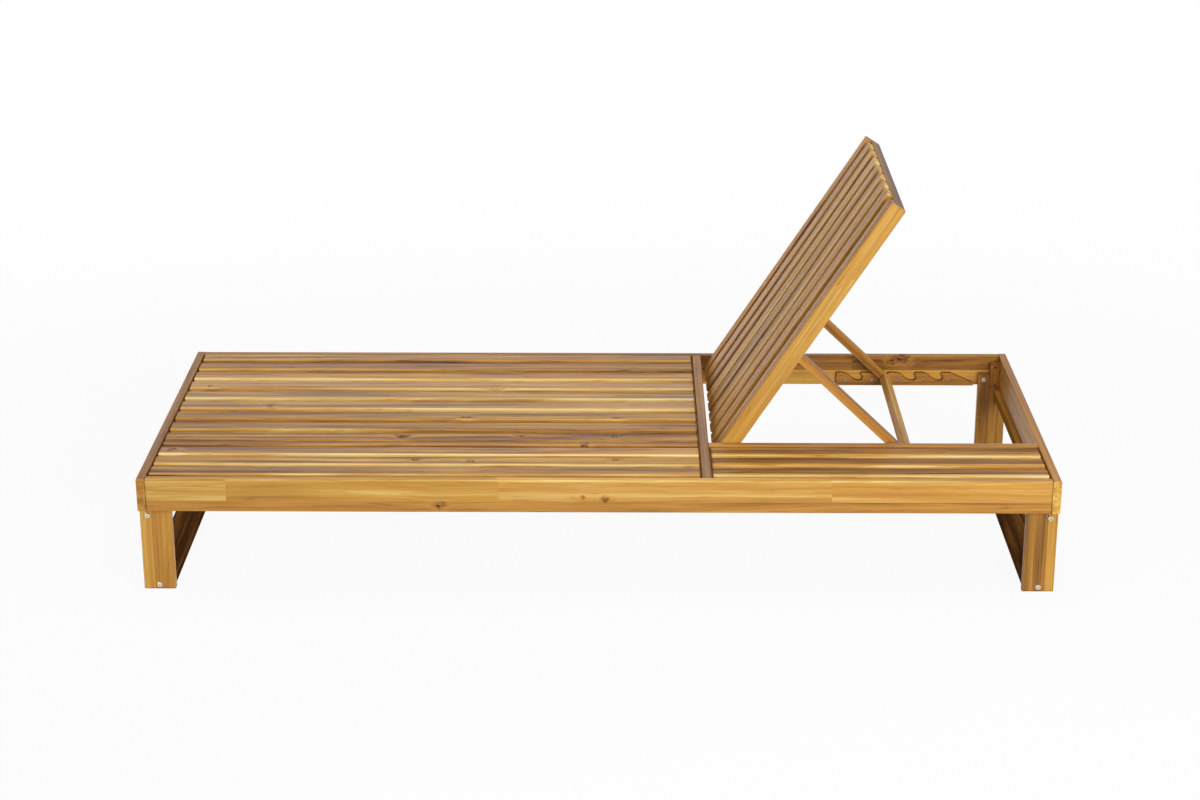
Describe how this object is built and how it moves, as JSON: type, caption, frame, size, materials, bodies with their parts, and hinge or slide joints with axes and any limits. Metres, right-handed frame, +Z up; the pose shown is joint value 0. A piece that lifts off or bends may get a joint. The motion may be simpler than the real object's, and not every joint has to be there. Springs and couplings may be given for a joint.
{
  "type": "chaise longue",
  "caption": "Slatted wooden sun lounger on sled legs, with a slatted side shelf and a backrest that a notched prop holds at several angles.",
  "frame": {"origin": "on the floor, at the middle of the length and the width", "axes": "+X along the lounger from foot to head, +Y from the shelf's side to the far side, +Z up"},
  "size_m": [2, 0.84, 0.8241],
  "materials": {
    "frame_wood": "oiled, satin",
    "slat_wood": "oiled, satin",
    "zinc_steel": "zinc plated"
  },
  "bodies": {
    "frame": {"near_side_rail": "frame_wood", "far_side_rail": "frame_wood", "foot_end_rail": "frame_wood", "head_end_rail": "frame_wood", "cross_rail": "frame_wood", "inner_rail": "frame_wood", "seat_slat_01": "slat_wood", "seat_slat_02": "slat_wood", "seat_slat_03": "slat_wood", "seat_slat_04": "slat_wood", "seat_slat_05": "slat_wood", "seat_slat_06": "slat_wood", "seat_slat_07": "slat_wood", "seat_slat_08": "slat_wood", "seat_slat_09": "slat_wood", "seat_slat_10": "slat_wood", "seat_slat_11": "slat_wood", "seat_slat_12": "slat_wood", "seat_divider_slat": "slat_wood", "shelf_slat_1": "slat_wood", "shelf_slat_2": "slat_wood", "shelf_slat_3": "slat_wood", "seat_battens": "frame_wood", "shelf_battens": "frame_wood", "far_rack": "frame_wood", "near_rack": "frame_wood", "foot_near_leg": "frame_wood", "foot_far_leg": "frame_wood", "head_near_leg": "frame_wood", "head_far_leg": "frame_wood", "foot_runner": "frame_wood", "head_runner": "frame_wood", "leg_stretchers": "frame_wood", "corner_blocks": "frame_wood", "rail_bolts": "zinc_steel", "leg_frame_bolts": "zinc_steel", "barrel_nuts": "zinc_steel", "rack_screws": "zinc_steel", "corner_block_screws": "zinc_steel", "hinge_bolts": "zinc_steel"},
    "backrest": {"backrest_near_rail": "frame_wood", "backrest_far_rail": "frame_wood", "backrest_slat_1": "slat_wood", "backrest_slat_2": "slat_wood", "backrest_slat_3": "slat_wood", "backrest_slat_4": "slat_wood", "backrest_slat_5": "slat_wood", "backrest_slat_6": "slat_wood", "backrest_slat_7": "slat_wood", "backrest_near_edge_slat": "slat_wood", "backrest_far_edge_slat": "slat_wood", "backrest_low_cross_rail": "frame_wood", "backrest_middle_cross_rail": "frame_wood", "backrest_top_cross_rail": "frame_wood", "prop_pivot_bolts": "zinc_steel"},
    "prop": {"prop_near_arm": "frame_wood", "prop_far_arm": "frame_wood", "prop_bar": "frame_wood", "prop_screws": "zinc_steel"}
  },
  "joints": [
    {"name": "backrest_hinge", "type": "hinge", "parent": "frame", "child": "backrest", "pos_m": [0.283, 0, 0.248], "axis": [0, -1, 0], "range_deg": [-57.2, 10.5]},
    {"name": "prop_pivot", "type": "hinge", "parent": "backrest", "child": "prop", "pos_m": [0.43626, 0, 0.47104], "axis": [0, -1, 0], "range_deg": [-18, 97.5]}
  ],
  "couplings": [
    {"joint": "prop_pivot", "follows": "backrest_hinge", "ratio": -1.7}
  ]
}
